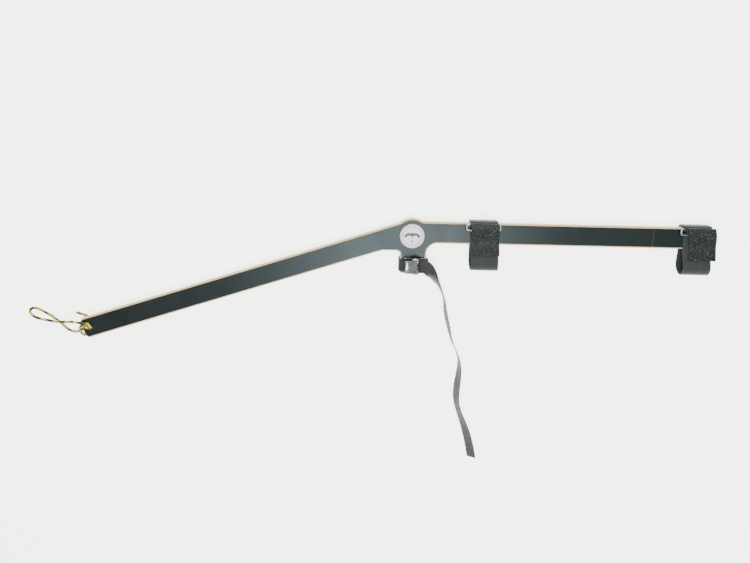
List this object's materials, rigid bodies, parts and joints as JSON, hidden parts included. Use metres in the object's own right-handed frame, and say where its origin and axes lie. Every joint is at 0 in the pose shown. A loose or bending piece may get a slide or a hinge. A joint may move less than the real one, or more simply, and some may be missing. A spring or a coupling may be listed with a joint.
{
  "type": "bicycle tow-line guide arm",
  "caption": "Bent black plywood guide arm for a bicycle tow line, with a cam-buckle foot strap, hook-and-loop cinch straps and a cord loop at its tip.",
  "frame": {"origin": "centre of the footprint, cords left out, on the surface the arm lies on", "axes": "+X runs along the rear arm, away from the tip with the cord; +Y is the side away from the foot; +Z is the face with the badge"},
  "size_m": [1.1402, 0.429, 0.0461],
  "materials": {
    "birch_plywood": "satin",
    "black_film": "satin",
    "badge_print": "satin",
    "plated_steel": "polished",
    "spring_steel": "satin",
    "black_webbing": "matte",
    "cinch_strap": "matte",
    "cinch_flap": "matte",
    "ring_metal": "satin",
    "braided_cord": "matte"
  },
  "bodies": {
    "bar": {"plywood_core": "birch_plywood", "front_film": "black_film", "back_film": "black_film", "badge_disc": "badge_print", "buckle_frame": "plated_steel", "cam_pin": "plated_steel", "cam_spring": "spring_steel", "hub_strap": "black_webbing", "hub_strap_tail": "black_webbing", "tip_cord_loop": "braided_cord", "tip_cord_wrap": "braided_cord", "tip_cord_knot": "braided_cord", "tip_cord_tail": "braided_cord"},
    "lever": {"cam_lever": "plated_steel"},
    "front_cinch": {"front_cinch_band": "cinch_strap", "front_cinch_tab": "cinch_strap", "front_cinch_flap": "cinch_flap", "front_cinch_ring": "ring_metal"},
    "rear_cinch": {"rear_cinch_band": "cinch_strap", "rear_cinch_tab": "cinch_strap", "rear_cinch_flap": "cinch_flap", "rear_cinch_ring": "ring_metal"}
  },
  "joints": [
    {"name": "cam_lever_hinge", "type": "hinge", "parent": "bar", "child": "lever", "pos_m": [0.03311, 0.03078, 0.0366], "axis": [0, -1, 0], "range_deg": [0, 30], "stiffness_Nm_per_rad": 0.3, "springref_deg": -8.59},
    {"name": "front_cinch_slide", "type": "slide", "parent": "bar", "child": "front_cinch", "axis": [1, 0, 0], "range_m": [-0.02, 0.14]},
    {"name": "rear_cinch_slide", "type": "slide", "parent": "bar", "child": "rear_cinch", "axis": [1, 0, 0], "range_m": [-0.14, 0]}
  ]
}
